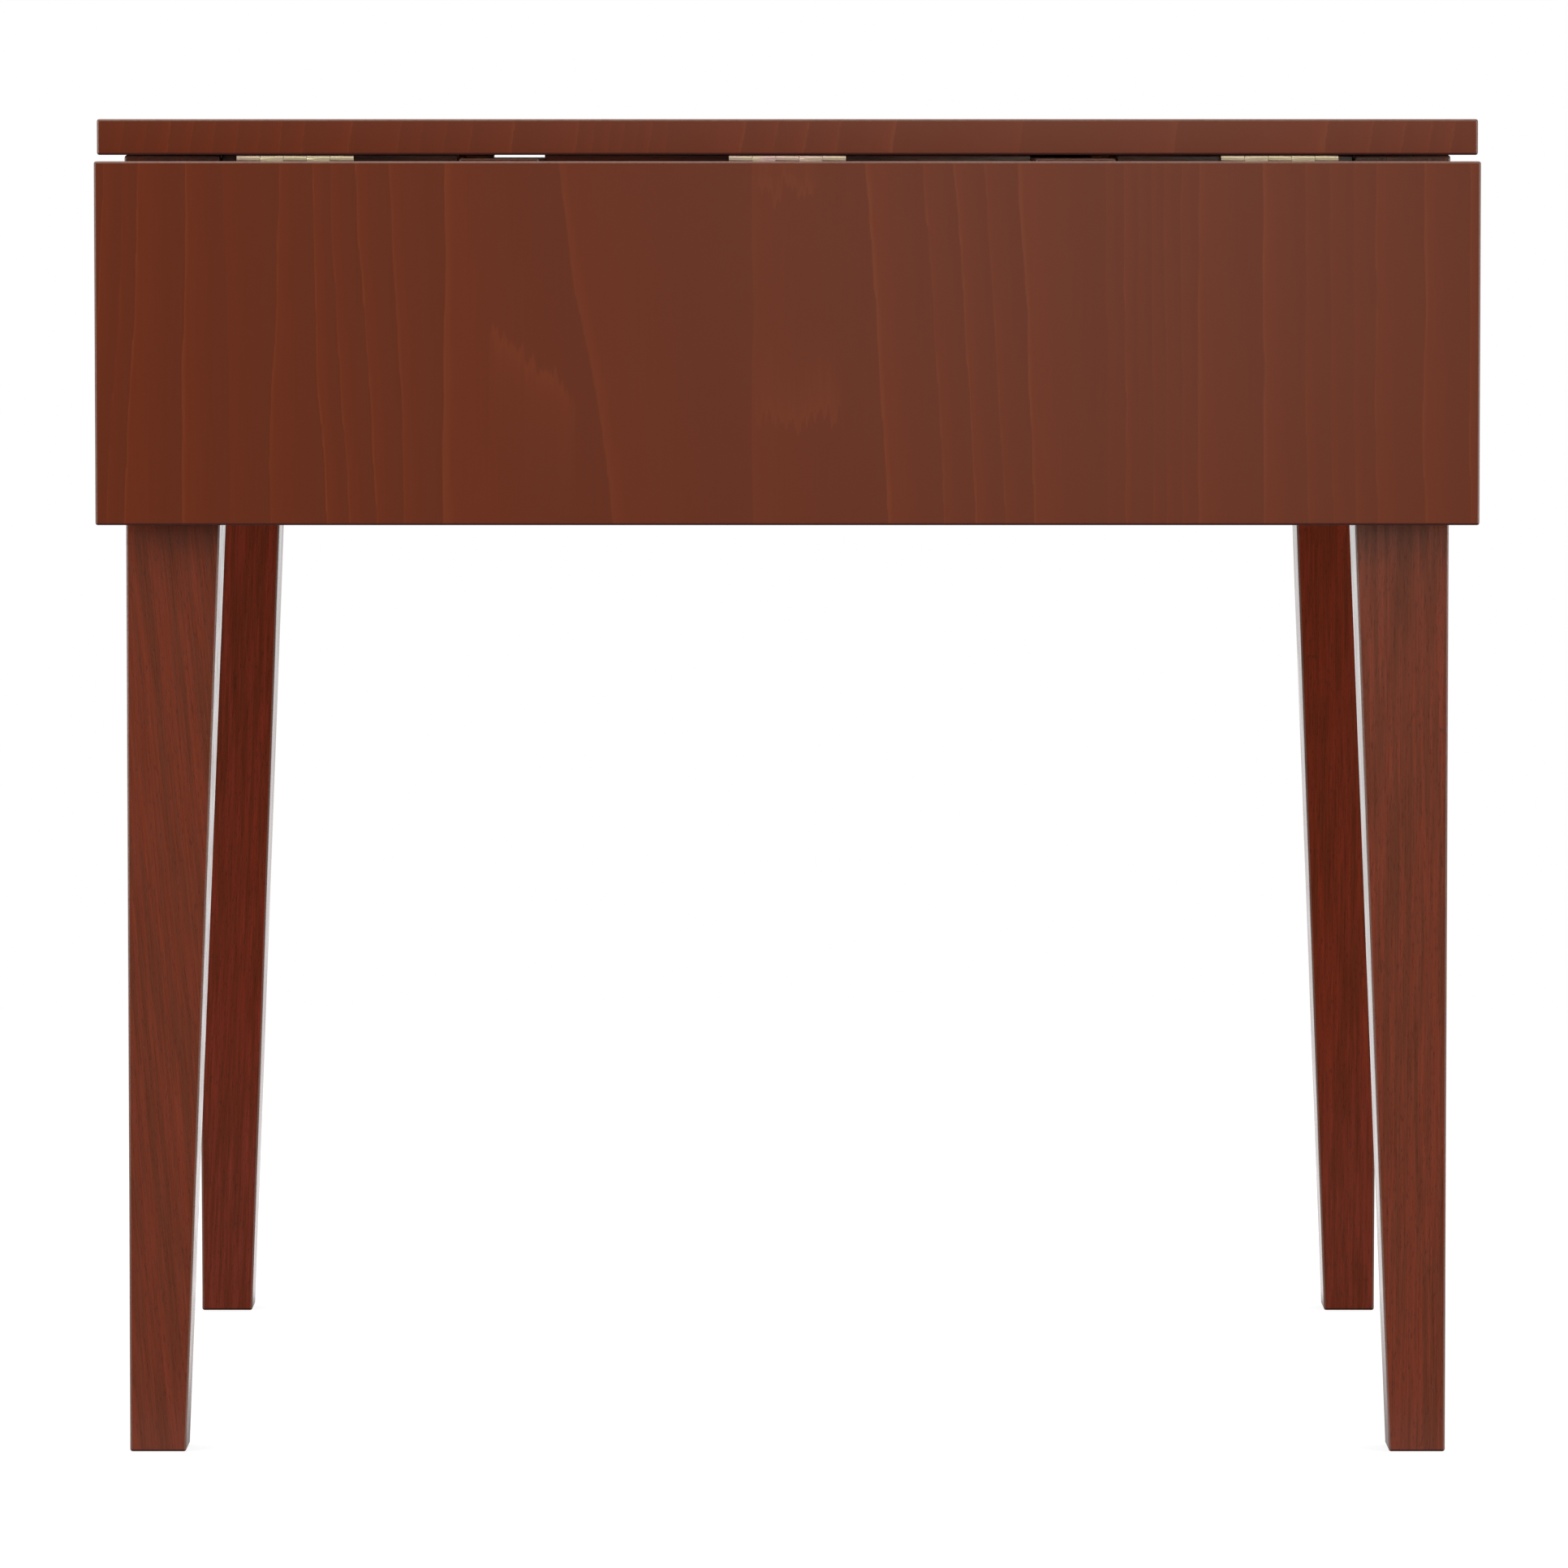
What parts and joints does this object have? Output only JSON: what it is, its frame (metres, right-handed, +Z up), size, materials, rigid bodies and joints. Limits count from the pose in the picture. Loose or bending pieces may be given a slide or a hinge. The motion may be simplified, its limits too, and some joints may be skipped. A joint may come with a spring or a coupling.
{
  "type": "drop-leaf dining table",
  "caption": "Compact wooden dining table with tapered legs, hinged drop leaves at front and back, and pull-out slides under the top that carry the raised leaves.",
  "frame": {"origin": "on the floor below the middle of the fixed top", "axes": "+X to the right along the hinge lines, +Y from the front leaf to the back leaf, +Z up"},
  "size_m": [0.762, 0.7264, 0.742],
  "materials": {
    "stained_wood": "red-brown stain under satin lacquer",
    "plain_wood": "lightly stained, unlacquered",
    "yellow_zinc": "yellow zinc plated steel",
    "grey_zinc": "zinc plated steel"
  },
  "bodies": {
    "frame": {"table_top": "stained_wood", "leg_front_left": "stained_wood", "leg_front_right": "stained_wood", "leg_back_left": "stained_wood", "leg_back_right": "stained_wood", "front_apron": "stained_wood", "back_apron": "stained_wood", "left_apron": "stained_wood", "right_apron": "stained_wood", "corner_bracket_front_left": "grey_zinc", "corner_bracket_front_right": "grey_zinc", "corner_bracket_back_left": "grey_zinc", "corner_bracket_back_right": "grey_zinc", "hanger_bolt_front_left": "grey_zinc", "hanger_bolt_front_right": "grey_zinc", "hanger_bolt_back_left": "grey_zinc", "hanger_bolt_back_right": "grey_zinc", "bolt_nut_front_left": "grey_zinc", "bolt_nut_front_right": "grey_zinc", "bolt_nut_back_left": "grey_zinc", "bolt_nut_back_right": "grey_zinc", "top_cleat_front": "plain_wood", "top_cleat_back": "plain_wood", "top_cleat_left": "plain_wood", "top_cleat_right": "plain_wood", "slide_keeper_front_left": "plain_wood", "slide_keeper_front_right": "plain_wood", "slide_keeper_back_left": "plain_wood", "slide_keeper_back_right": "plain_wood", "slide_stop_block": "plain_wood", "hinge_fixed_flap_front_left": "yellow_zinc", "hinge_fixed_flap_front_middle": "yellow_zinc", "hinge_fixed_flap_front_right": "yellow_zinc", "hinge_fixed_flap_back_left": "yellow_zinc", "hinge_fixed_flap_back_middle": "yellow_zinc", "hinge_fixed_flap_back_right": "yellow_zinc", "hinge_pin_front_left": "yellow_zinc", "hinge_pin_front_middle": "yellow_zinc", "hinge_pin_front_right": "yellow_zinc", "hinge_pin_back_left": "yellow_zinc", "hinge_pin_back_middle": "yellow_zinc", "hinge_pin_back_right": "yellow_zinc"},
    "front_leaf": {"front_leaf": "stained_wood", "hinge_leaf_flap_front_left": "yellow_zinc", "hinge_leaf_flap_front_middle": "yellow_zinc", "hinge_leaf_flap_front_right": "yellow_zinc"},
    "back_leaf": {"back_leaf": "stained_wood", "hinge_leaf_flap_back_left": "yellow_zinc", "hinge_leaf_flap_back_middle": "yellow_zinc", "hinge_leaf_flap_back_right": "yellow_zinc"},
    "front_left_slide": {"leaf_slide_front_left": "stained_wood", "slide_pin_front_left": "plain_wood"},
    "front_right_slide": {"leaf_slide_front_right": "stained_wood", "slide_pin_front_right": "plain_wood"},
    "back_left_slide": {"leaf_slide_back_left": "stained_wood", "slide_pin_back_left": "plain_wood"},
    "back_right_slide": {"leaf_slide_back_right": "stained_wood", "slide_pin_back_right": "plain_wood"}
  },
  "joints": [
    {"name": "front_leaf_hinge", "type": "hinge", "parent": "frame", "child": "front_leaf", "pos_m": [0, -0.34075, 0.7195], "axis": [-1, 0, 0], "range_deg": [0, 90]},
    {"name": "back_leaf_hinge", "type": "hinge", "parent": "frame", "child": "back_leaf", "pos_m": [0, 0.34075, 0.7195], "axis": [1, 0, 0], "range_deg": [0, 90]},
    {"name": "front_left_slide_pull", "type": "slide", "parent": "frame", "child": "front_left_slide", "axis": [0, -1, 0], "range_m": [0, 0.017]},
    {"name": "front_right_slide_pull", "type": "slide", "parent": "frame", "child": "front_right_slide", "axis": [0, -1, 0], "range_m": [0, 0.017]},
    {"name": "back_left_slide_pull", "type": "slide", "parent": "frame", "child": "back_left_slide", "axis": [0, 1, 0], "range_m": [0, 0.017]},
    {"name": "back_right_slide_pull", "type": "slide", "parent": "frame", "child": "back_right_slide", "axis": [0, 1, 0], "range_m": [0, 0.017]}
  ]
}
